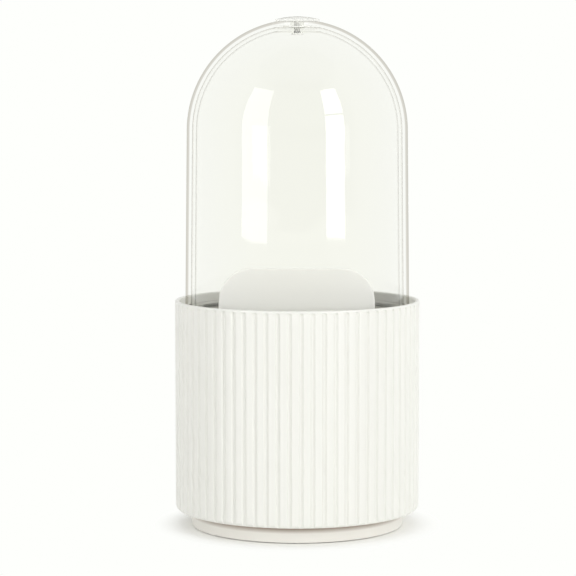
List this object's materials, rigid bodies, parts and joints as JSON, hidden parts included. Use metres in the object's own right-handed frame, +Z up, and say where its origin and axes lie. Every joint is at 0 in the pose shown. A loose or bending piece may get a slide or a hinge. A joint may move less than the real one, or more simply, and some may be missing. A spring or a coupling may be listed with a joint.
{
  "type": "rotating makeup organizer with dome",
  "caption": "Fluted round cup on a turning foot, with dividers, under a clear two-part dome whose front half turns on a top knob as a door.",
  "frame": {"origin": "on the turning axis, at the table the rubber feet stand on", "axes": "+Z up along the turning axis, -Y towards the closed front door, +X to the right seen from the front"},
  "size_m": [0.125, 0.125, 0.26],
  "materials": {
    "white_plastic": "satin",
    "clear_plastic": "polished",
    "frosted_plastic": "satin",
    "natural_plastic": "matte",
    "steel": "bright",
    "rubber": "matte"
  },
  "bodies": {
    "base": {"base_foot": "white_plastic", "rubber_feet": "rubber", "bearing_balls": "steel", "ball_cage": "natural_plastic"},
    "cup": {"cup_body": "white_plastic", "swivel_plate": "white_plastic", "plate_screws": "steel", "pivot_washer": "steel", "pivot_screw": "steel", "front_divider": "white_plastic", "rear_divider": "white_plastic", "seat_ring": "white_plastic"},
    "dome": {"dome_ring": "clear_plastic", "rear_shell": "clear_plastic", "pivot_spacer": "natural_plastic"},
    "door": {"door_shell": "clear_plastic", "knob": "frosted_plastic", "knob_washer": "clear_plastic", "knob_screw": "clear_plastic"}
  },
  "joints": [
    {"name": "base_turn", "type": "hinge", "parent": "base", "child": "cup", "pos_m": [0, 0, 0.0089], "axis": [0, 0, 1], "continuous": true},
    {"name": "dome_lift", "type": "slide", "parent": "cup", "child": "dome", "axis": [0, 0, 1], "range_m": [0, 0.05]},
    {"name": "door_turn", "type": "hinge", "parent": "dome", "child": "door", "pos_m": [0, 0, 0.2], "axis": [0, 0, 1], "range_deg": [0, 170]}
  ]
}
